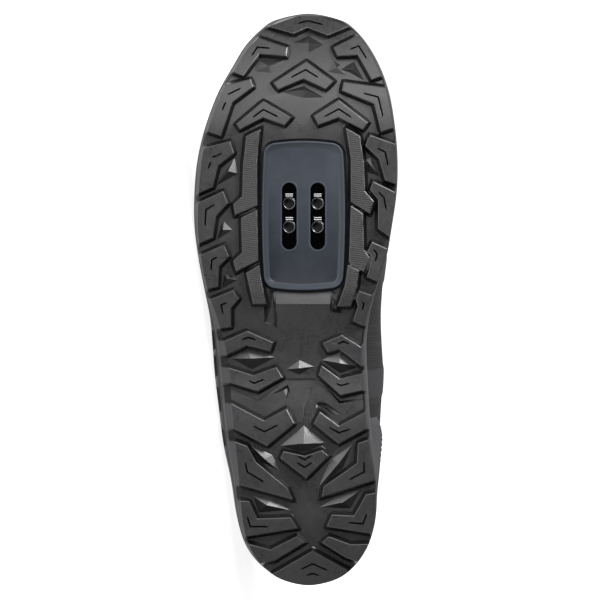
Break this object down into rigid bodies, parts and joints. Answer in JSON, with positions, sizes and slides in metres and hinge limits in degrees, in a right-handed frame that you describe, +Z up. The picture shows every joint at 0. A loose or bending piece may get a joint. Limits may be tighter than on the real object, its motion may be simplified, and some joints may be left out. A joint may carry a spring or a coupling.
{
  "type": "cycling shoe",
  "caption": "Right mountain cycling shoe lying on its lateral side, with a lugged rubber sole, a recessed cleat plate with slots and nuts, and a plain strapped upper.",
  "frame": {"origin": "bottom centre of the bounding box of the shoe as it lies on its lateral side", "axes": "+Z up from the floor, which is the shoe's medial side; +X from the toe towards the heel; -Y out of the sole, +Y towards the collar"},
  "size_m": [0.2906, 0.1114, 0.1079],
  "materials": {
    "sole_rubber": "matt",
    "midsole_foam": "matt",
    "plate_nylon": "satin",
    "nut_steel": "satin",
    "upper_textile": "matt",
    "overlay_film": "satin",
    "insole_foam": "matt",
    "strap_web": "matt"
  },
  "bodies": {
    "root": {"outsole": "sole_rubber", "midsole": "midsole_foam", "cleat_plate": "plate_nylon", "cleat_nuts": "nut_steel", "upper": "upper_textile", "toe_cap": "overlay_film", "heel_counter": "overlay_film", "insole": "insole_foam", "tongue": "upper_textile", "strap_front": "strap_web", "strap_rear": "strap_web"}
  },
  "joints": []
}
